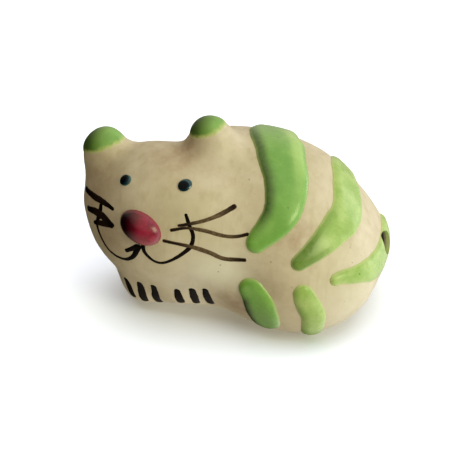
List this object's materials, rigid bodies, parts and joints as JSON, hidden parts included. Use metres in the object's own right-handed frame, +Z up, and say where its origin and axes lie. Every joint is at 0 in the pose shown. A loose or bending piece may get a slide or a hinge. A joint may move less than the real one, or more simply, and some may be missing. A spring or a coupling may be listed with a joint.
{
  "type": "alebrije figure",
  "caption": "Small lying cat figure in glazed ceramic, with raised green enamel stripes, a crimson nose and a painted face, pierced lengthwise for a cord",
  "frame": {"origin": "on the table, under the middle of the figure's bounding box", "axes": "+X along the body towards the rump, -Y the way the face looks, +Z up"},
  "size_m": [0.0239, 0.0165, 0.0164],
  "materials": {
    "cream_glaze": "satin",
    "green_enamel": "gloss",
    "pale_green_enamel": "gloss",
    "crimson_enamel": "gloss",
    "black_enamel": "satin",
    "brown_enamel": "satin",
    "teal_enamel": "gloss"
  },
  "bodies": {
    "root": {"clay_torso": "cream_glaze", "clay_head": "cream_glaze", "back_stripe_shoulder": "green_enamel", "back_stripe_middle": "pale_green_enamel", "rump_stripe": "pale_green_enamel", "thigh_stripe_front": "green_enamel", "thigh_stripe_rear": "pale_green_enamel", "far_stripe_front": "green_enamel", "far_stripe_rear": "pale_green_enamel", "ear_cap_left": "green_enamel", "ear_cap_right": "green_enamel", "nose": "crimson_enamel", "eye_left": "teal_enamel", "eye_right": "teal_enamel", "pupil_left": "black_enamel", "pupil_right": "black_enamel", "mouth_left": "black_enamel", "mouth_right": "black_enamel", "lip_stroke": "black_enamel", "whisker_left_upper": "brown_enamel", "whisker_left_middle": "brown_enamel", "whisker_left_lower": "brown_enamel", "whisker_right_upper": "brown_enamel", "whisker_right_middle": "brown_enamel", "whisker_right_lower": "brown_enamel", "claw_left_inner": "black_enamel", "claw_left_middle": "black_enamel", "claw_left_outer": "black_enamel", "claw_right_inner": "black_enamel", "claw_right_middle": "black_enamel", "claw_right_outer": "black_enamel"}
  },
  "joints": []
}
